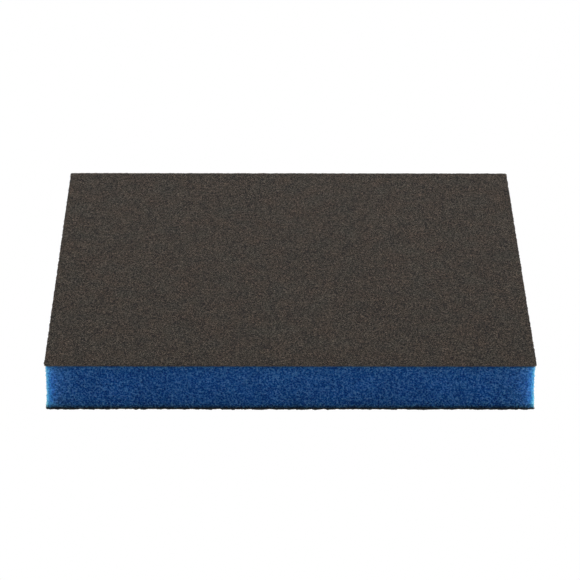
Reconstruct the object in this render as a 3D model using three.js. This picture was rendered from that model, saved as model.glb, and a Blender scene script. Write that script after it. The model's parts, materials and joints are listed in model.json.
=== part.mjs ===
// A two-sided foam sanding pad, lying flat on its lower abrasive face.
//
// Sizes are in millimetres. The origin is the centre of the lower face, +X runs along the
// pad's length, +Y across its width and +Z up through its thickness.

import * as THREE from 'three';

// Driving dimensions of the whole pad.
const padLength = 120;
const padWidth = 98;
const cornerRadius = 0.5; // die-cut corners, all but sharp

// The foam core. Its cut sides stand back from the coats' edges, most of all above, and draw
// in a little more at mid-height.
const foamThickness = 12.2;
const foamSetbackBelow = 0.1;
const foamSetbackAbove = 0.35;
const foamWaist = 0.12;

// Each face's coat, layer by layer from the foam outwards.
const barrierThickness = 0.1;
const makeThickness = 0.08;
const grainThickness = 0.16;
const sizeThickness = 0.06;

// How finely the shapes are divided.
const cornerSegments = 6;
const foamSteps = 14;

// The layers of one coat, listed from the foam outwards.
const coatLayers = [
  { name: 'barrier_coat', thickness: barrierThickness, color: '#3b3a3c', roughness: 0.7 },
  { name: 'make_coat', thickness: makeThickness, color: '#4a3d33', roughness: 0.45 },
  { name: 'abrasive_grain', thickness: grainThickness, color: '#4c423b', roughness: 0.6 },
  { name: 'size_coat', thickness: sizeThickness, color: '#423e3a', roughness: 0.5 },
];

const coatThickness = coatLayers.reduce((sum, layer) => sum + layer.thickness, 0);

// The die-cut outline that every layer shares.
function padOutline() {
  const halfLength = padLength / 2;
  const halfWidth = padWidth / 2;
  const x = halfLength - cornerRadius;
  const y = halfWidth - cornerRadius;
  const quarter = Math.PI / 2;
  const outline = new THREE.Shape();
  outline.moveTo(-x, -halfWidth);
  outline.absarc(x, -y, cornerRadius, -quarter, 0);
  outline.absarc(x, y, cornerRadius, 0, quarter);
  outline.absarc(-x, y, cornerRadius, quarter, 2 * quarter);
  outline.absarc(-x, -y, cornerRadius, 2 * quarter, 3 * quarter);
  return outline;
}

// A flat sheet of the pad's outline, standing on z = 0.
function sheet(thickness, steps = 1) {
  return new THREE.ExtrudeGeometry(padOutline(), {
    depth: thickness,
    steps,
    curveSegments: cornerSegments,
    bevelEnabled: false,
  });
}

// How far the foam's side stands back from the coats' edges, at a share of its height.
function foamSetback(share) {
  const straight = THREE.MathUtils.lerp(foamSetbackBelow, foamSetbackAbove, share);
  const bow = 4 * share * (1 - share);
  return straight + foamWaist * bow;
}

// The core: the same outline, drawn in level by level so that its four sides are hollowed.
function foamGeometry() {
  const geometry = sheet(foamThickness, foamSteps);
  const points = geometry.getAttribute('position');
  for (let i = 0; i < points.count; i += 1) {
    const setback = foamSetback(points.getZ(i) / foamThickness);
    points.setX(i, points.getX(i) * (1 - setback / (padLength / 2)));
    points.setY(i, points.getY(i) * (1 - setback / (padWidth / 2)));
  }
  geometry.computeVertexNormals();
  return geometry;
}

function makeFoamCore() {
  const material = new THREE.MeshStandardMaterial({
    color: '#1b4079',
    roughness: 0.95,
    metalness: 0,
  });
  const foam = new THREE.Mesh(foamGeometry(), material);
  foam.name = 'foam_core';
  foam.position.z = coatThickness;
  return foam;
}

function makeLayer(layer, side) {
  const material = new THREE.MeshStandardMaterial({
    color: layer.color,
    roughness: layer.roughness,
    metalness: 0,
  });
  const mesh = new THREE.Mesh(sheet(layer.thickness), material);
  mesh.name = `${side}_${layer.name}`;
  return mesh;
}

// The coat under the foam: its layers hang one below the other, down to z = 0.
function makeLowerCoat() {
  const coat = new THREE.Group();
  let bottom = coatThickness;
  for (const layer of coatLayers) {
    bottom -= layer.thickness;
    const mesh = makeLayer(layer, 'lower');
    mesh.position.z = bottom;
    coat.add(mesh);
  }
  return coat;
}

// The coat over the foam: its layers stand one on the other.
function makeUpperCoat() {
  const coat = new THREE.Group();
  let bottom = coatThickness + foamThickness;
  for (const layer of coatLayers) {
    const mesh = makeLayer(layer, 'upper');
    mesh.position.z = bottom;
    coat.add(mesh);
    bottom += layer.thickness;
  }
  return coat;
}

const sandingPad = new THREE.Group();
sandingPad.name = 'sanding_pad';
sandingPad.add(makeLowerCoat(), makeFoamCore(), makeUpperCoat());

export default sandingPad;
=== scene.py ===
import json
import math

import bpy
import numpy as np
from mathutils import Matrix, Vector

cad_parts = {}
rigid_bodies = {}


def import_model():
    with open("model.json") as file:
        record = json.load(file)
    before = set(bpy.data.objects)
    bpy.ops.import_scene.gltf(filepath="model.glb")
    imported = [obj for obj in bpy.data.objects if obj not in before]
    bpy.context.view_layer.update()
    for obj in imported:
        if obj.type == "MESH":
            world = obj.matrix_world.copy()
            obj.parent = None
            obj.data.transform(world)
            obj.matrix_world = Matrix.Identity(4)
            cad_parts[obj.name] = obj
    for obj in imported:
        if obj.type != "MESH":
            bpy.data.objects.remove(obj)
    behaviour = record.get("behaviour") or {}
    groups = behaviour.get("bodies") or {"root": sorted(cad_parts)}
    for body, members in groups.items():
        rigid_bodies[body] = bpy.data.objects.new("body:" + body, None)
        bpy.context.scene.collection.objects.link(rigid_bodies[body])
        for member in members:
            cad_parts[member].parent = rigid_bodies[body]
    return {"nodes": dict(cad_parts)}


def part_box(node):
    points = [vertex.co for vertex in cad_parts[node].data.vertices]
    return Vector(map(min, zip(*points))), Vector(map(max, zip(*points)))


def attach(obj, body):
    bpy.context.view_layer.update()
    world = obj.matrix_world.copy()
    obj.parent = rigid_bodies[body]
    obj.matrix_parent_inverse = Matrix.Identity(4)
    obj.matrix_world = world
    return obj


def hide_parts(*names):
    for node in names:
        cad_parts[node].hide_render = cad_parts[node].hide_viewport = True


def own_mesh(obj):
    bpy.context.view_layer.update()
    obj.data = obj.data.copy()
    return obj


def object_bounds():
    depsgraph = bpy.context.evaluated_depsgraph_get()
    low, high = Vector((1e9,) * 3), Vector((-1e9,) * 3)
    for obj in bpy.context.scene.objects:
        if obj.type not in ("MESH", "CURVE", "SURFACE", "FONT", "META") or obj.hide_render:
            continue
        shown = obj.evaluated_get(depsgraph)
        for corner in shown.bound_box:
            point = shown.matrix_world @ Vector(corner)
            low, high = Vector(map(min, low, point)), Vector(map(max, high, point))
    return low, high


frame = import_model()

# A two-sided foam sanding pad, lying flat on a white table. Sizes are in metres.
mm = 0.001
mergeWithin = 0.001 * mm
cadLow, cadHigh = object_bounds()
foamLow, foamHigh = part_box("foam_core")
print("frame loaded, pad", [round((cadHigh - cadLow)[i] / mm, 2) for i in range(3)], "mm")


def selectNothing():
    if bpy.context.object and bpy.context.object.mode != "OBJECT":
        bpy.ops.object.mode_set(mode="OBJECT")
    bpy.ops.object.select_all(action="DESELECT")


def pickOnly(piece):
    selectNothing()
    piece.select_set(True)
    bpy.context.view_layer.objects.active = piece


def startPick(piece, mode):
    pickOnly(piece)
    bpy.ops.object.mode_set(mode="EDIT")
    bpy.ops.mesh.select_mode(type=mode)
    bpy.ops.mesh.select_all(action="DESELECT")
    bpy.ops.object.mode_set(mode="OBJECT")


def pointsOf(piece, what="co"):
    values = np.empty(len(piece.data.vertices) * 3)
    piece.data.vertices.foreach_get(what, values)
    return values.reshape(-1, 3)


def pickEdges(piece, wanted):
    # selects the edges whose ends, as two lists of places, satisfy wanted(a, b), and stays in edit mode
    startPick(piece, "EDGE")
    ends = np.empty(len(piece.data.edges) * 2, int)
    piece.data.edges.foreach_get("vertices", ends)
    places = pointsOf(piece)
    piece.data.edges.foreach_set("select", wanted(places[ends[0::2]].T, places[ends[1::2]].T))
    bpy.ops.object.mode_set(mode="EDIT")


def pickFaces(piece, wanted):
    # selects the faces whose normals satisfy wanted(normals), and stays in edit mode
    startPick(piece, "FACE")
    normals = np.empty(len(piece.data.polygons) * 3)
    piece.data.polygons.foreach_get("normal", normals)
    piece.data.polygons.foreach_set("select", wanted(normals.reshape(-1, 3).T))
    bpy.ops.object.mode_set(mode="EDIT")


def editAll(piece):
    pickOnly(piece)
    bpy.ops.object.mode_set(mode="EDIT")
    bpy.ops.mesh.select_all(action="SELECT")


def leaveEdit():
    bpy.ops.object.mode_set(mode="OBJECT")


def applyModifiers(piece):
    pickOnly(piece)
    for modifier in list(piece.modifiers):
        bpy.ops.object.modifier_apply(modifier=modifier.name)


def giveGroup(piece, name, wanted):
    group = piece.vertex_groups.new(name=name)
    group.add(np.flatnonzero(wanted(pointsOf(piece).T)).tolist(), 1.0, "REPLACE")


def settle(piece, name, slot, body, material, *nodes):
    # the finished piece sits at the origin, rides on its body and stands for its CAD nodes
    pickOnly(piece)
    bpy.ops.object.transform_apply(location=True, rotation=True, scale=True)
    piece.name = name
    piece.data.name = name
    piece.data.materials.clear()
    piece.data.materials.append(material)
    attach(piece, body)
    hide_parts(*nodes)


def layFlat(piece, regions):
    # a map of the piece's own for its finish: each region says which faces it takes, which two
    # axes it is seen along, and its box on the map as left, bottom, right and top
    mesh = piece.data
    counts = np.empty(len(mesh.polygons), int)
    mesh.polygons.foreach_get("loop_total", counts)
    middles, normals = np.empty(len(counts) * 3), np.empty(len(counts) * 3)
    mesh.polygons.foreach_get("center", middles)
    mesh.polygons.foreach_get("normal", normals)
    ends = np.empty(len(mesh.loops), int)
    mesh.loops.foreach_get("vertex_index", ends)
    points = pointsOf(piece)
    low, high = points.min(0), points.max(0)
    share = (points[ends] - low) / (high - low)
    places = np.zeros((len(ends), 2))
    for wanted, axes, box in regions:
        chosen = np.repeat(wanted(middles.reshape(-1, 3).T, normals.reshape(-1, 3).T), counts)
        corner, farCorner = np.array(box[:2]), np.array(box[2:])
        places[chosen] = corner + share[chosen][:, axes] * (farCorner - corner)
    layer = mesh.uv_layers.new(name="OFBake")
    layer.uv.foreach_set("vector", places.astype(np.float32).ravel())


def cloudTexture(name, size, depth=1, basis="ORIGINAL_PERLIN"):
    texture = bpy.data.textures.new(name, "CLOUDS")
    texture.noise_scale = size
    texture.noise_depth = depth
    texture.noise_basis = basis
    return texture


def cellTexture(name, size):
    # dark in the middle of each cell and bright along the walls between cells
    texture = bpy.data.textures.new(name, "VORONOI")
    texture.noise_scale = size
    texture.noise_intensity = 1.0
    texture.distance_metric = "DISTANCE"
    return texture


def displace(piece, texture, strength, direction="NORMAL", group="", middle=0.5):
    modifier = piece.modifiers.new(texture.name, "DISPLACE")
    modifier.texture = texture
    modifier.texture_coords = "LOCAL"
    modifier.strength = strength
    modifier.mid_level = middle
    modifier.direction = direction
    modifier.vertex_group = group


def addNode(tree, kind, **settings):
    node = tree.nodes.new(kind)
    for name, value in settings.items():
        setattr(node, name, value)
    return node


def feed(tree, value, socket):
    # a socket is linked, anything else is set
    if isinstance(value, bpy.types.NodeSocket):
        tree.links.new(value, socket)
    else:
        socket.default_value = value


cameraSetup = {
    "lens": 161.57,
    "distance": 0.68263,
    "elevation": 31.024,
    "heading": 0.422,        # degrees to the right of straight ahead
    "roll": 0.268,
    "sensor": 36.0,
    "aimFromCentre": (0.000165, 0.002157, -0.002931),
}


def makeCamera(setup):
    bpy.ops.object.camera_add()
    camera = bpy.context.object
    camera.name = "camera"
    camera.data.lens = setup["lens"]
    camera.data.sensor_width = setup["sensor"]
    up = math.radians(setup["elevation"])
    side = math.radians(setup["heading"])
    ahead = Vector((math.sin(side) * math.cos(up), math.cos(side) * math.cos(up), -math.sin(up)))
    aim = (cadLow + cadHigh) / 2 + Vector(setup["aimFromCentre"])
    turn = Matrix.Rotation(math.radians(setup["roll"]), 4, "Z")
    look = ahead.to_track_quat("-Z", "Y").to_matrix().to_4x4()
    camera.matrix_world = Matrix.Translation(aim - ahead * setup["distance"]) @ look @ turn
    camera.data.clip_start = 0.01
    camera.data.clip_end = 20.0
    bpy.context.scene.camera = camera


# each softbox: place, width, height, power in watts
softboxes = {
    "softboxTop": ((0.0, 0.12, 0.60), 0.7, 0.5, 1.6),
    "softboxLeft": ((-0.55, 0.08, 0.06), 0.25, 0.11, 1.38),
    "softboxRight": ((0.55, 0.08, 0.06), 0.25, 0.11, 1.9),
    "softboxFront": ((0.0, -0.75, 0.16), 0.8, 0.3, 1.0),
    "softboxBack": ((0.0, 0.65, 0.32), 0.8, 0.3, 1.45),
}
skyLight = 0.10
white = (1, 1, 1, 1)


def lightAndShow(tree, lighting, seen, end):
    # one shader lights the pad, and the camera itself sees the other
    mix = addNode(tree, "ShaderNodeMixShader")
    feed(tree, addNode(tree, "ShaderNodeLightPath").outputs["Is Camera Ray"], mix.inputs["Fac"])
    feed(tree, lighting, mix.inputs[1])
    feed(tree, seen, mix.inputs[2])
    feed(tree, mix.outputs["Shader"], end.inputs["Surface"])


def makeStudio():
    middle = (cadLow + cadHigh) / 2
    for name, (place, width, height, power) in softboxes.items():
        bpy.ops.object.light_add(type="AREA", location=place)
        light = bpy.context.object
        light.name = name
        light.data.shape = "RECTANGLE"
        light.data.size = width
        light.data.size_y = height
        light.data.energy = power
        light.rotation_euler = (middle - Vector(place)).to_track_quat("-Z", "Y").to_euler()
    world = bpy.data.worlds.new("studioWhite")
    bpy.context.scene.world = world
    world.use_nodes = True
    tree = world.node_tree
    tree.nodes.clear()
    lighting = addNode(tree, "ShaderNodeBackground")
    feed(tree, white, lighting.inputs["Color"])
    feed(tree, skyLight, lighting.inputs["Strength"])
    seen = addNode(tree, "ShaderNodeBackground")
    feed(tree, white, seen.inputs["Color"])
    end = addNode(tree, "ShaderNodeOutputWorld")
    lightAndShow(tree, lighting.outputs["Background"], seen.outputs["Background"], end)


tableLook = {
    "size": 12.0,
    "brightness": 0.8,
    "roughness": 0.9,
}


def makeTable(look):
    # it lights the pad from below as a white sheet does, and itself shows as pure white
    bpy.ops.mesh.primitive_plane_add(size=look["size"])
    table = bpy.context.object
    table.name = "table"
    material = bpy.data.materials.new("whiteTable")
    material.use_nodes = True
    tree = material.node_tree
    shader = tree.nodes["Principled BSDF"]
    grey = look["brightness"]
    feed(tree, (grey, grey, grey, 1), shader.inputs["Base Color"])
    feed(tree, look["roughness"], shader.inputs["Roughness"])
    glow = addNode(tree, "ShaderNodeEmission")
    lightAndShow(tree, shader.outputs["BSDF"], glow.outputs["Emission"], tree.nodes["Material Output"])
    table.data.materials.append(material)


makeCamera(cameraSetup)
makeStudio()
makeTable(tableLook)
bpy.context.scene.view_settings.view_transform = "Standard"
print("camera, lights and table made")


def maths(tree, operation, *values):
    node = addNode(tree, "ShaderNodeMath", operation=operation)
    for value, socket in zip(values, node.inputs):
        feed(tree, value, socket)
    return node.outputs[0]


def startGroup(name, inputs, outputs):
    group = bpy.data.node_groups.new(name, "ShaderNodeTree")
    for label, value in inputs.items():
        kind = "NodeSocketVector" if value is None else "NodeSocketFloat"
        socket = group.interface.new_socket(label, in_out="INPUT", socket_type=kind)
        if value is not None:
            socket.default_value = value
    for label in outputs:
        group.interface.new_socket(label, in_out="OUTPUT", socket_type="NodeSocketFloat")
    return group, group.nodes.new("NodeGroupInput"), group.nodes.new("NodeGroupOutput")


gritMix = {
    "finer": 1.9,                 # a second set of grains is this much finer
    "coarseShade": 0.62,          # the coarse grains' share of the shade, the finer ones have the rest
    "coarseHeight": 0.7,          # and their share of the relief
}


def makeGritGroup(mix):
    # grains side by side, each with its own shade and its own low dome
    group, given, result = startGroup("fineGrit", {"Position": None, "Size": 0.0002},
                                      ("Shade", "Tint", "Height"))
    scale = maths(group, "DIVIDE", 1.0, given.outputs["Size"])
    finer = maths(group, "MULTIPLY", scale, mix["finer"])
    shades, tints, heights = [], [], []
    for step in (scale, finer):
        grains = addNode(group, "ShaderNodeTexVoronoi", voronoi_dimensions="3D", feature="F1")
        feed(group, given.outputs["Position"], grains.inputs["Vector"])
        feed(group, step, grains.inputs["Scale"])
        apart = addNode(group, "ShaderNodeSeparateColor")
        feed(group, grains.outputs["Color"], apart.inputs["Color"])
        shades.append(apart.outputs["Red"])
        tints.append(apart.outputs["Green"])
        heights.append(maths(group, "SUBTRACT", 1.0, grains.outputs["Distance"]))
    for (coarse, fine), share, label in ((shades, mix["coarseShade"], "Shade"),
                                         (heights, mix["coarseHeight"], "Height")):
        rest = maths(group, "MULTIPLY", fine, 1 - share)
        feed(group, maths(group, "MULTIPLY_ADD", coarse, share, rest), result.inputs[label])
    feed(group, tints[0], result.inputs["Tint"])
    return group


mottleNoise = {
    "detail": 3.0,
    "spread": (0.3, 0.7),         # the noise values that Low and High stand for
}


def makeMottleGroup(noiseSetup):
    # broad soft patches, as a factor between Low and High
    inputs = {"Position": None, "Size": 0.006, "Low": 0.9, "High": 1.1}
    group, given, result = startGroup("softMottle", inputs, ("Factor",))
    noise = addNode(group, "ShaderNodeTexNoise")
    feed(group, given.outputs["Position"], noise.inputs["Vector"])
    feed(group, maths(group, "DIVIDE", 1.0, given.outputs["Size"]), noise.inputs["Scale"])
    noise.inputs["Detail"].default_value = noiseSetup["detail"]
    spread = addNode(group, "ShaderNodeMapRange")
    feed(group, noise.outputs["Fac"], spread.inputs["Value"])
    feed(group, noiseSetup["spread"][0], spread.inputs["From Min"])
    feed(group, noiseSetup["spread"][1], spread.inputs["From Max"])
    feed(group, given.outputs["Low"], spread.inputs["To Min"])
    feed(group, given.outputs["High"], spread.inputs["To Max"])
    feed(group, spread.outputs["Result"], result.inputs["Factor"])
    return group


gritGroup = makeGritGroup(gritMix)
mottleGroup = makeMottleGroup(mottleNoise)


def placeGroup(tree, group, **values):
    node = addNode(tree, "ShaderNodeGroup", node_tree=group)
    for label, value in values.items():
        feed(tree, value, node.inputs[label])
    return node


def ramp(tree, value, stops):
    node = addNode(tree, "ShaderNodeValToRGB")
    elements = node.color_ramp.elements
    while len(elements) < len(stops):
        elements.new(0.5)
    for element, (place, colour) in zip(elements, stops):
        element.position = place
        element.color = (*colour, 1)
    feed(tree, value, node.inputs["Fac"])
    return node.outputs["Color"]


def scaleColour(tree, colour, factor):
    node = addNode(tree, "ShaderNodeVectorMath", operation="SCALE")
    feed(tree, colour, node.inputs[0])
    feed(tree, factor, node.inputs["Scale"])
    return node.outputs["Vector"]


def startMaterial(name):
    material = bpy.data.materials.new(name)
    material.use_nodes = True
    tree = material.node_tree
    place = addNode(tree, "ShaderNodeTexCoord").outputs["Object"]
    return material, tree, tree.nodes["Principled BSDF"], place


def bump(tree, height, strength, distance, shader):
    node = addNode(tree, "ShaderNodeBump")
    node.inputs["Strength"].default_value = strength
    node.inputs["Distance"].default_value = distance
    feed(tree, height, node.inputs["Height"])
    feed(tree, node.outputs["Normal"], shader.inputs["Normal"])


def setRoughness(tree, shade, ends, shader):
    spread = addNode(tree, "ShaderNodeMapRange")
    feed(tree, shade, spread.inputs["Value"])
    feed(tree, ends[0], spread.inputs["To Min"])
    feed(tree, ends[1], spread.inputs["To Max"])
    feed(tree, spread.outputs["Result"], shader.inputs["Roughness"])


grainTint = 0.25        # how much of a grain's tint is its own, the rest is its patch's


def makeGritMaterial(name, look, share=1.0):
    # for everything in the coats: shades from grain to grain, broad patches and a fine relief; share
    # darkens it as a whole, as painted shade
    material, tree, shader, place = startMaterial(name)
    grit = placeGroup(tree, gritGroup, Position=place, Size=look["grainSize"])
    patches = placeGroup(tree, mottleGroup, Position=place, Size=look["patchSize"],
                         Low=share * (1 - look["patches"]), High=share * (1 + look["patches"]))
    tintPatches = placeGroup(tree, mottleGroup, Position=place, Size=look["tintPatchSize"],
                             Low=0.0, High=1 - grainTint)
    warmth = maths(tree, "MULTIPLY_ADD", grit.outputs["Tint"], grainTint, tintPatches.outputs["Factor"])
    tint = ramp(tree, warmth, look["tints"])
    tinted = addNode(tree, "ShaderNodeVectorMath", operation="MULTIPLY")
    feed(tree, ramp(tree, grit.outputs["Shade"], look["shades"]), tinted.inputs[0])
    feed(tree, tint, tinted.inputs[1])
    colour = scaleColour(tree, tinted.outputs["Vector"], patches.outputs["Factor"])
    feed(tree, colour, shader.inputs["Base Color"])
    shader.inputs["Specular IOR Level"].default_value = look["specular"]
    setRoughness(tree, grit.outputs["Shade"], look["roughness"], shader)
    bump(tree, grit.outputs["Height"], look["bumpStrength"], look["bumpDepth"], shader)
    return material


sizeResinLook = {
    "grainSize": 0.17 * mm,
    "patchSize": 7.0 * mm,
    "patches": 0.07,
    "tintPatchSize": 6.0 * mm,
    "shades": [(0.31, (0.001, 0.001, 0.0005)), (0.53, (0.0105, 0.0076, 0.0052)),
               (0.70, (0.083, 0.061, 0.0430)), (0.86, (0.275, 0.203, 0.143))],
    "tints": [(0.1, (0.91, 1.02, 1.06)), (0.9, (1.10, 0.99, 0.94))],      # cooler and warmer grains
    "specular": 0.24,
    "roughness": (0.85, 0.5),
    "bumpStrength": 1.0,
    "bumpDepth": 0.08 * mm,
}
crystalLook = {
    "grainSize": 0.34 * mm,
    "patchSize": 9.0 * mm,
    "patches": 0.07,
    "tintPatchSize": 3.0 * mm,
    "shades": [(0.2, (0.016, 0.013, 0.010)), (0.5, (0.065, 0.052, 0.042)), (0.8, (0.18, 0.148, 0.120))],
    "tints": [(0.1, (0.92, 1.02, 1.05)), (0.9, (1.10, 0.98, 0.94))],
    "specular": 0.3,
    "roughness": (0.5, 0.3),
    "bumpStrength": 0.3,
    "bumpDepth": 0.02 * mm,
}
makeResinLook = {
    "grainSize": 0.25 * mm,
    "patchSize": 5.0 * mm,
    "patches": 0.15,
    "tintPatchSize": 3.0 * mm,
    "shades": [(0.2, (0.060, 0.052, 0.046)), (0.8, (0.150, 0.132, 0.120))],
    "tints": [(0.1, (0.95, 1.0, 1.03)), (0.9, (1.05, 1.0, 0.97))],
    "specular": 0.4,
    "roughness": (0.45, 0.6),
    "bumpStrength": 0.4,
    "bumpDepth": 0.02 * mm,
}
latexLook = {
    "grainSize": 0.22 * mm,
    "patchSize": 4.0 * mm,
    "patches": 0.2,
    "tintPatchSize": 3.0 * mm,
    "shades": [(0.2, (0.050, 0.062, 0.078)), (0.8, (0.115, 0.136, 0.165))],
    "tints": [(0.1, (0.97, 1.0, 1.02)), (0.9, (1.03, 1.0, 0.98))],
    "specular": 0.3,
    "roughness": (0.8, 0.65),
    "bumpStrength": 0.4,
    "bumpDepth": 0.02 * mm,
}
sizeResin = makeGritMaterial("sizeResin", sizeResinLook)
brownCrystal = makeGritMaterial("brownCrystal", crystalLook)
makeResin = makeGritMaterial("makeResin", makeResinLook)
darkLatex = makeGritMaterial("darkLatex", latexLook)
lowerCoatPaintedShade = 0.45        # the lower coat's hidden layers have this share of the upper ones' brightness, a painted contact shadow under the pad
# painted shade: darker copies of the hidden layers for the lower coat, standing in for the contact shadow
# under the pad
paintedShadeCrystal = makeGritMaterial("paintedShadeCrystal", crystalLook, lowerCoatPaintedShade)
paintedShadeMakeResin = makeGritMaterial("paintedShadeMakeResin", makeResinLook, lowerCoatPaintedShade)
paintedShadeLatex = makeGritMaterial("paintedShadeLatex", latexLook, lowerCoatPaintedShade)
print("coat materials made")


cornerSegments = 4


def makeBlank(low, high, radius, lengthCuts, widthCuts, heightCuts):
    # a block with round upright corners, its sides cut up finely; several rounds of cuts multiply
    size = high - low
    selectNothing()
    bpy.ops.mesh.primitive_cube_add(size=1, location=(low + high) / 2)
    blank = bpy.context.object
    blank.scale = size
    pickOnly(blank)
    bpy.ops.object.transform_apply(location=True, rotation=True, scale=True)
    pickEdges(blank, lambda a, b: abs(a[2] - b[2]) > size.z / 2)
    bpy.ops.mesh.bevel(offset=radius, segments=cornerSegments, affect="EDGES")
    leaveEdit()
    pickFaces(blank, lambda normal: abs(normal[2]) > 0.9)
    bpy.ops.mesh.delete(type="ONLY_FACE")
    leaveEdit()
    for direction, cuts in ((0, lengthCuts), (1, widthCuts), (2, heightCuts)):
        longest = 0.9 * (size[direction] - (2 * radius if direction < 2 else 0))
        for count in cuts:
            pickEdges(blank, lambda a, b: abs(a[direction] - b[direction]) > longest)
            bpy.ops.mesh.subdivide(number_cuts=count - 1)
            leaveEdit()
            longest /= count
    for level in (low.z, high.z):
        near = size.z / 1000
        pickEdges(blank, lambda a, b: (abs(a[2] - level) < near) & (abs(b[2] - level) < near))
        bpy.ops.mesh.edge_face_add()
        leaveEdit()
    editAll(blank)
    bpy.ops.mesh.normals_make_consistent(inside=False)
    leaveEdit()
    return blank


foamShape = {
    "cornerRadius": 0.5 * mm,
    "lengthCuts": (31, 32),       # segments along the long sides, as two rounds of cutting
    "widthCuts": (29, 28),
    "heightCuts": (10, 10),
    "waveSize": 7.0 * mm,
    "waveDepth": 0.25 * mm,
    "waveMiddle": 0.1,            # under a half, so that the foam bulges a little from its cut
    "cellSize": 0.46 * mm,
    "cellDepth": 0.40 * mm,
    "fineSize": 0.24 * mm,
    "fineDepth": 0.14 * mm,
    "paintedShadeBelow": 1.0 * mm,        # how far from the coats the foam is darkened: painted shade, the contact shadow below and the coat's overhang shadow above
    "paintedShadeAbove": 0.5 * mm,
    "paintedGlowCorner": 2.2 * mm,       # how far from its upright corners the foam is painted paler, a painted glow of side light coming through the foam
    "heldRim": 0.02 * mm,         # so close to the coats the foam keeps its outline
}


def wrapOntoFrame(blank):
    # the frame's own foam solid, merged, is what the fine blank is drawn onto
    pattern = frame["nodes"]["foam_core"].copy()
    pattern.data = pattern.data.copy()
    pattern.parent = None
    bpy.context.scene.collection.objects.link(pattern)
    editAll(pattern)
    bpy.ops.mesh.remove_doubles(threshold=mergeWithin)
    leaveEdit()
    wrap = blank.modifiers.new("wrap", "SHRINKWRAP")
    wrap.target = pattern
    wrap.wrap_method = "NEAREST_SURFACEPOINT"
    applyModifiers(blank)
    bpy.data.objects.remove(pattern)


def storeOnPoints(piece, name, values):
    attribute = piece.data.attributes.new(name, "FLOAT", "POINT")
    attribute.data.foreach_set("value", values.astype(np.float32))


def onEnd(middle):
    # true nearer the pad's short ends than its long sides
    return foamHigh.x - abs(middle[0]) < foamHigh.y - abs(middle[1])


mapLow, mapHigh = 0.005, 0.995        # a map keeps this margin all round


def sideRegions(firstRow, height, gap, level):
    # a strip of the map for each of the four cut sides, which hold the faces no more level than this
    regions = []
    for number, (along, sign) in enumerate(((0, -1), (0, 1), (1, -1), (1, 1))):
        across = 1 - along
        low = firstRow + (height + gap) * number

        def wanted(middle, normal, across=across, sign=sign):
            facing = (onEnd(middle) == (across == 0)) & (sign * middle[across] > 0)
            return (abs(normal[2]) <= level) & facing

        regions.append((wanted, (along, 2), (mapLow, low, mapHigh, low + height)))
    return regions


flat = 0.999        # only the two broad faces are this level
foamRegions = sideRegions(mapLow, 0.22, 0.01, flat) + [
    (lambda middle, normal: normal[2] > flat, (0, 1), (mapLow, 0.925, 0.495, mapHigh)),
    (lambda middle, normal: normal[2] < -flat, (0, 1), (0.505, 0.925, mapHigh, mapHigh)),
]


def makeFoam(shape):
    foam = makeBlank(foamLow, foamHigh, shape["cornerRadius"],
                     shape["lengthCuts"], shape["widthCuts"], shape["heightCuts"])
    wrapOntoFrame(foam)
    rim = shape["heldRim"]
    giveGroup(foam, "cutSide", lambda p: (p[2] > foamLow.z + rim) & (p[2] < foamHigh.z - rim))
    displace(foam, cloudTexture("foamWave", shape["waveSize"]), shape["waveDepth"], group="cutSide",
             middle=shape["waveMiddle"])
    applyModifiers(foam)
    before, outwards = pointsOf(foam), pointsOf(foam, "normal")
    displace(foam, cellTexture("foamCells", shape["cellSize"]), shape["cellDepth"], group="cutSide")
    displace(foam, cloudTexture("foamFine", shape["fineSize"]), shape["fineDepth"], group="cutSide")
    applyModifiers(foam)
    after = pointsOf(foam)
    moved = ((after - before) * outwards).sum(1)
    print("foam cells reach", [round(float(m) / mm, 3) for m in np.percentile(moved, (0, 5, 50, 95, 100))])
    storeOnPoints(foam, "cellHeight", moved / shape["cellDepth"])
    # painted shade: the foam darkens towards the coats, standing in for the contact shadow below and the
    # coat's overhang shadow above
    below = 1 - (after[:, 2] - foamLow.z) / shape["paintedShadeBelow"]
    above = 1 - (foamHigh.z - after[:, 2]) / shape["paintedShadeAbove"]
    storeOnPoints(foam, "paintedCoatShade", np.clip(np.maximum(below, above), 0, 1))
    layFlat(foam, foamRegions)
    # painted glow: the foam is paler near its upright corners, standing in for side light coming through
    # it
    fromCorner = (foamHigh.x - abs(after[:, 0])) + (foamHigh.y - abs(after[:, 1]))
    storeOnPoints(foam, "paintedGlowCorner", np.exp(-np.maximum(fromCorner, 0) / shape["paintedGlowCorner"]))
    return foam


foamLook = {
    "poreSize": 0.21 * mm,
    "patchSize": 5.0 * mm,
    "patches": 0.08,
    # the foam's own blue; the low end is partly painted shade in the cell pits and the high end partly a
    # painted highlight on the cell walls
    "shades": [(0.2, (0.0002, 0.026, 0.165)), (0.5, (0.0036, 0.079, 0.345)),
               (0.68, (0.021, 0.150, 0.480)), (0.85, (0.100, 0.285, 0.620))],
    "cells": (-0.45, 0.20),       # the cell heights that the shades run between, with painted shade in the pits and a painted highlight on the walls
    "cellShare": 0.5,             # how much of the shade comes from the cells' painted shade and highlight, the rest from fine pores
    # painted shade near the coats
    "paintedShadeColour": (0.012, 0.032, 0.044),
    "paintedShadeStrength": 0.9,
    "paintedGlow": (0.115, 0.385, 0.730),        # painted glow at the upright corners, standing in for side light coming through the foam
    "paintedGlowStrength": 0.9,
    "mixedShades": (0.3, 1.4),    # the painted glow and painted shade colours times this, from no shade up, and per shade
    "specular": 0.2,
    "roughness": (1.0, 0.75),     # in the pores and on the cell walls
    "bumpStrength": 0.5,
    "bumpDepth": 0.06 * mm,
    "throughScatter": 1.0,
    "scatterReach": (3.5, 6.0, 8.0),      # red, green and blue, in millimetres
}


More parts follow.
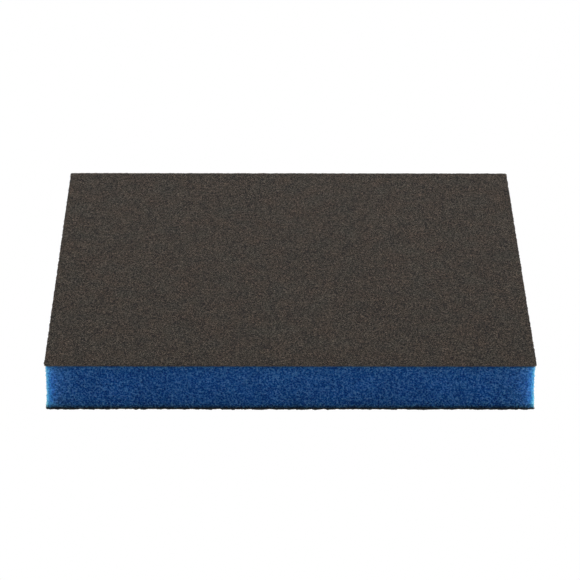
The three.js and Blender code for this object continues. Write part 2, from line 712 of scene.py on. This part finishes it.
def makeFoamMaterial(look):
    material, tree, shader, place = startMaterial("blueFoam")
    pores = placeGroup(tree, gritGroup, Position=place, Size=look["poreSize"])
    patches = placeGroup(tree, mottleGroup, Position=place, Size=look["patchSize"],
                         Low=1 - look["patches"], High=1 + look["patches"])
    # the cell heights give painted shade in the pits and a painted highlight on the walls; the fine pores
    # vary at random
    cells = addNode(tree, "ShaderNodeMapRange")
    feed(tree, addNode(tree, "ShaderNodeAttribute", attribute_name="cellHeight").outputs["Fac"],
         cells.inputs["Value"])
    cells.inputs["From Min"].default_value = look["cells"][0]
    cells.inputs["From Max"].default_value = look["cells"][1]
    fine = maths(tree, "MULTIPLY", pores.outputs["Shade"], 1 - look["cellShare"])
    shade = maths(tree, "MULTIPLY_ADD", cells.outputs["Result"], look["cellShare"], fine)
    colour = scaleColour(tree, ramp(tree, shade, look["shades"]), patches.outputs["Factor"])
    least, gain = look["mixedShades"]
    uneven = maths(tree, "MULTIPLY_ADD", shade, gain, least)
    # painted glow near the upright corners, then painted shade near the coats
    for name, other, strength in (("paintedGlowCorner", "paintedGlow", "paintedGlowStrength"),
                                  ("paintedCoatShade", "paintedShadeColour", "paintedShadeStrength")):
        share = addNode(tree, "ShaderNodeAttribute", attribute_name=name).outputs["Fac"]
        mix = addNode(tree, "ShaderNodeMix", data_type="RGBA")
        feed(tree, maths(tree, "MULTIPLY", share, look[strength]), mix.inputs["Factor"])
        feed(tree, colour, mix.inputs["A"])
        feed(tree, scaleColour(tree, look[other], uneven), mix.inputs["B"])
        colour = mix.outputs["Result"]
    feed(tree, colour, shader.inputs["Base Color"])
    setRoughness(tree, shade, look["roughness"], shader)
    shader.inputs["Specular IOR Level"].default_value = look["specular"]
    shader.inputs["Subsurface Weight"].default_value = look["throughScatter"]
    shader.inputs["Subsurface Radius"].default_value = look["scatterReach"]
    shader.inputs["Subsurface Scale"].default_value = mm
    bump(tree, pores.outputs["Height"], look["bumpStrength"], look["bumpDepth"], shader)
    return material


foam = makeFoam(foamShape)
settle(foam, "foamCore", "foam", "lower_side", makeFoamMaterial(foamLook), "foam_core")
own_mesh(foam)
print("foam core made,", len(foam.data.polygons), "faces")


def layerBox(layer):
    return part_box("upper_" + layer)


raggedRim = {
    "size": 1.1 * mm,             # the cut's own unevenness, which all layers of a coat share
    "depth": 0.30 * mm,
}


def everywhere(p):
    return np.full(len(p[2]), True)


def roughenRim(piece, size, depth, wanted=everywhere):
    # torn in and out along the cut, along X and Y alone, so that the layer keeps its thickness
    giveGroup(piece, "rim", wanted)
    for direction in ("X", "Y"):
        texture = cloudTexture(piece.name + "Rim" + direction, size, 0, "CELL_NOISE")
        displace(piece, texture, depth, direction, "rim")
        ragged = cloudTexture(piece.name + "Ragged" + direction, raggedRim["size"])
        displace(piece, ragged, raggedRim["depth"], direction, "rim")
    applyModifiers(piece)


slabShape = {
    "cornerRadius": 0.5 * mm,
    "pitch": 0.3 * mm,            # along the cut edge
    "tearSize": 0.25 * mm,
    "tearDepth": 0.22 * mm,
}


def coatRegions(bottom, top, innerTop):
    # a coat layer's map: its outer face from bottom to top, then its inner face up to innerTop,
    # then its four cut edges
    slope = 0.5
    return sideRegions(0.905, 0.018, 0.005, slope) + [
        (lambda middle, normal: normal[2] > slope, (0, 1), (mapLow, bottom, mapHigh, top)),
        (lambda middle, normal: normal[2] < -slope, (0, 1), (mapLow, top + 0.01, mapHigh, innerTop)),
    ]


wholeMap = (mapLow, 0.815, 0.895)
bedMap = (0.615, 0.745, 0.825)        # the crystals take the rest
crystalRegions = [
    (lambda middle, normal: normal[2] >= 0, (0, 1), (mapLow, mapLow, mapHigh, 0.605)),
    (lambda middle, normal: normal[2] < 0, (0, 1), (mapLow, 0.835, mapHigh, 0.895)),
]


def makeSlab(layer, shape, mapRows=wholeMap):
    low, high = layerBox(layer)
    cuts = [round((high[i] - low[i]) / shape["pitch"]) for i in (0, 1)]
    rounds = [(10, round(count / 10)) for count in cuts]        # no round may have over 100
    slab = makeBlank(low, high, shape["cornerRadius"], rounds[0], rounds[1], (2,))
    slab.name = layer
    roughenRim(slab, shape["tearSize"], shape["tearDepth"])
    layFlat(slab, coatRegions(*mapRows))
    return slab


sizeCoatShape = {
    "cells": (340, 278),
    "cornerRadius": 0.5 * mm,
    "cornerCuts": (20, 45, 70),   # degrees
    "sunk": 0.42,                 # how far below its box's top the even sheet starts, as a share
    "rimWidth": 0.05 * mm,
    "lumpSize": 0.75 * mm,
    "lumpDepth": 0.040 * mm,
    "gritSize": 0.36 * mm,
    "gritDepth": 0.035 * mm,
    "gritMiddle": 0.4,
    "tearSize": 0.3 * mm,
    "tearDepth": 0.2 * mm,
}


def trimCorners(sheet, low, high, radius, angles):
    editAll(sheet)
    for sideX in (-1, 1):
        for sideY in (-1, 1):
            for angle in angles:
                turned = math.radians(angle)
                away = Vector((sideX * math.cos(turned), sideY * math.sin(turned), 0))
                corner = Vector(((high.x - radius) * sideX, (high.y - radius) * sideY, low.z))
                bpy.ops.mesh.select_all(action="SELECT")
                bpy.ops.mesh.bisect(plane_co=corner + away * radius, plane_no=away, clear_outer=True,
                                    threshold=mergeWithin)
    leaveEdit()


def makeSizeCoat(shape):
    low, high = layerBox("size_coat")
    size = high - low
    top = high.z - shape["sunk"] * size.z
    selectNothing()
    bpy.ops.mesh.primitive_grid_add(x_subdivisions=shape["cells"][0], y_subdivisions=shape["cells"][1],
                                    size=1, location=(0, 0, top))
    sheet = bpy.context.object
    sheet.scale = (size.x, size.y, 1)
    pickOnly(sheet)
    bpy.ops.object.transform_apply(location=True, rotation=True, scale=True)
    trimCorners(sheet, low, high, shape["cornerRadius"], shape["cornerCuts"])
    startPick(sheet, "EDGE")
    bpy.ops.object.mode_set(mode="EDIT")
    bpy.ops.mesh.select_non_manifold()
    bpy.ops.mesh.extrude_region_move(TRANSFORM_OT_translate={"value": (0, 0, low.z - top)})
    bpy.ops.mesh.edge_face_add()
    bpy.ops.mesh.select_all(action="SELECT")
    bpy.ops.mesh.normals_make_consistent(inside=False)
    leaveEdit()
    sheet.name = "sizeCoat"
    middle = (low.z + top) / 2
    giveGroup(sheet, "face", lambda p: p[2] > middle)
    displace(sheet, cloudTexture("sizeLumps", shape["lumpSize"]), shape["lumpDepth"], "Z", "face")
    displace(sheet, cellTexture("sizeGrit", shape["gritSize"]), -shape["gritDepth"], "Z", "face",
             shape["gritMiddle"])
    applyModifiers(sheet)
    inset = shape["rimWidth"]
    roughenRim(sheet, shape["tearSize"], shape["tearDepth"],
               lambda p: (p[2] < middle) | (abs(p[0]) > high.x - inset) | (abs(p[1]) > high.y - inset))
    layFlat(sheet, coatRegions(*wholeMap))
    return sheet


crystalShape = {
    "variants": 5,
    "sides": 5,
    "width": 0.26 * mm,
    "height": 0.16 * mm,
    "jitter": 0.035 * mm,
    "spacing": 0.605 * mm,
    "sizes": (0.65, 1.2),
    "tilt": 0.5,                  # radians
    "seed": 11,
    "tries": 8.0,                 # points tried in each square of the spacing, before thinning out
    "scatterCells": (12, 10),
}


def makeCrystal(shape, number):
    selectNothing()
    half = shape["height"] / 2
    bpy.ops.mesh.primitive_cone_add(vertices=shape["sides"], radius1=shape["width"] / 2, radius2=0,
                                    depth=half, end_fill_type="NOTHING", location=(0, 0, half / 2))
    crystal = bpy.context.object
    pickOnly(crystal)
    bpy.ops.object.transform_apply(location=True, rotation=True, scale=True)
    pickEdges(crystal, lambda a, b: (a[2] < half / 10) & (b[2] < half / 10))
    bpy.ops.mesh.extrude_region_move(TRANSFORM_OT_translate={"value": (0, 0, -half)})
    bpy.ops.mesh.merge(type="CENTER")
    bpy.ops.mesh.select_all(action="SELECT")
    bpy.ops.transform.vertex_random(offset=shape["jitter"], seed=number)
    bpy.ops.mesh.normals_make_consistent(inside=False)
    leaveEdit()
    crystal.name = "crystal" + str(number)
    return crystal


def makeScatterTree(shape, crystals):
    tree = bpy.data.node_groups.new("scatterCrystals", "GeometryNodeTree")
    for way in ("INPUT", "OUTPUT"):
        tree.interface.new_socket("Geometry", in_out=way, socket_type="NodeSocketGeometry")
    ground, result = tree.nodes.new("NodeGroupInput"), tree.nodes.new("NodeGroupOutput")
    points = addNode(tree, "GeometryNodeDistributePointsOnFaces", distribute_method="POISSON")
    points.inputs["Distance Min"].default_value = shape["spacing"]
    points.inputs["Density Max"].default_value = shape["tries"] / shape["spacing"] ** 2
    points.inputs["Seed"].default_value = shape["seed"]
    kinds = addNode(tree, "GeometryNodeCollectionInfo")
    kinds.inputs["Collection"].default_value = crystals
    kinds.inputs["Separate Children"].default_value = True
    kinds.inputs["Reset Children"].default_value = True
    turn = addNode(tree, "FunctionNodeRandomValue", data_type="FLOAT_VECTOR")
    turn.inputs["Min"].default_value = (-shape["tilt"], -shape["tilt"], 0)
    turn.inputs["Max"].default_value = (shape["tilt"], shape["tilt"], 2 * math.pi)
    turn.inputs["Seed"].default_value = shape["seed"] + 1
    grow = addNode(tree, "FunctionNodeRandomValue", data_type="FLOAT")
    grow.inputs[2].default_value, grow.inputs[3].default_value = shape["sizes"]
    grow.inputs["Seed"].default_value = shape["seed"] + 2
    spread = addNode(tree, "GeometryNodeInstanceOnPoints")
    spread.inputs["Pick Instance"].default_value = True
    real = addNode(tree, "GeometryNodeRealizeInstances")
    tree.links.new(ground.outputs[0], points.inputs["Mesh"])
    tree.links.new(points.outputs["Points"], spread.inputs["Points"])
    tree.links.new(kinds.outputs[0], spread.inputs["Instance"])
    tree.links.new(turn.outputs[0], spread.inputs["Rotation"])
    tree.links.new(grow.outputs[1], spread.inputs["Scale"])
    tree.links.new(spread.outputs["Instances"], real.inputs["Geometry"])
    tree.links.new(real.outputs["Geometry"], result.inputs[0])
    return tree


def makeGrain(shape, bedShape):
    bed = makeSlab("abrasive_grain", bedShape, bedMap)
    low, high = layerBox("abrasive_grain")
    top = layerBox("size_coat")[1].z
    crystals = bpy.data.collections.new("crystals")
    bpy.context.scene.collection.children.link(crystals)
    for number in range(shape["variants"]):
        crystal = makeCrystal(shape, number + 1)
        for home in list(crystal.users_collection):
            home.objects.unlink(crystal)
        crystals.objects.link(crystal)
    selectNothing()
    inset = 0.5 * shape["width"]
    tallest = shape["height"] / 2 * shape["sizes"][1] + shape["jitter"]
    across, deep = shape["scatterCells"]
    bpy.ops.mesh.primitive_grid_add(x_subdivisions=across, y_subdivisions=deep, size=1,
                                    location=(0, 0, top - tallest))
    scatter = bpy.context.object
    scatter.scale = (high.x - low.x - inset, high.y - low.y - inset, 1)
    scatter.name = "crystalScatter"
    pickOnly(scatter)
    bpy.ops.object.transform_apply(location=True, rotation=True, scale=True)
    spread = scatter.modifiers.new("scatter", "NODES")
    spread.node_group = makeScatterTree(shape, crystals)
    applyModifiers(scatter)
    print("crystals", len(scatter.data.polygons) // (2 * shape["sides"]),
          "top", round(float(pointsOf(scatter)[:, 2].max()) / mm, 4))
    layFlat(scatter, crystalRegions)
    for crystal in list(crystals.objects):
        bpy.data.objects.remove(crystal)
    bpy.data.collections.remove(crystals)
    pickOnly(bed)
    scatter.select_set(True)
    bpy.ops.object.join()
    return bed


def turnedOver(piece):
    # the lower coat is the upper one, copied and laid face down
    other = piece.copy()
    other.data = piece.data.copy()
    bpy.context.scene.collection.objects.link(other)
    other.rotation_euler = (math.pi, 0, 0)
    other.location = (0, 0, cadHigh.z)
    return other


frayed = {
    "size": 0.8 * mm,
    "depth": 0.34 * mm,
}


def fray(piece):
    # the lower coat's cut edge is more ragged than the upper one's
    for direction in ("X", "Y"):
        texture = cloudTexture(piece.name + "Fray" + direction, frayed["size"], 0, "CELL_NOISE")
        displace(piece, texture, frayed["depth"], direction, "rim")
    applyModifiers(piece)


# each layer: its slot, its materials above and below, and how it is made
coatPieces = {
    "SizeCoat": ("size_coat", sizeResin, sizeResin, lambda: makeSizeCoat(sizeCoatShape)),
    "GrainLayer": ("abrasive_grain", brownCrystal, paintedShadeCrystal,
                   lambda: makeGrain(crystalShape, slabShape)),
    "MakeCoat": ("make_coat", makeResin, paintedShadeMakeResin, lambda: makeSlab("make_coat", slabShape)),
    "BarrierCoat": ("barrier_coat", darkLatex, paintedShadeLatex, lambda: makeSlab("barrier_coat", slabShape)),
}
for name, (layer, above, below, make) in coatPieces.items():
    upper = make()
    lower = turnedOver(upper)
    settle(upper, "upper" + name, layer, "upper_side", above, "upper_" + layer)
    settle(lower, "lower" + name, layer, "lower_side", below, "lower_" + layer)
    fray(lower)
    print(name, "made for both faces,", len(upper.data.polygons), "faces each")
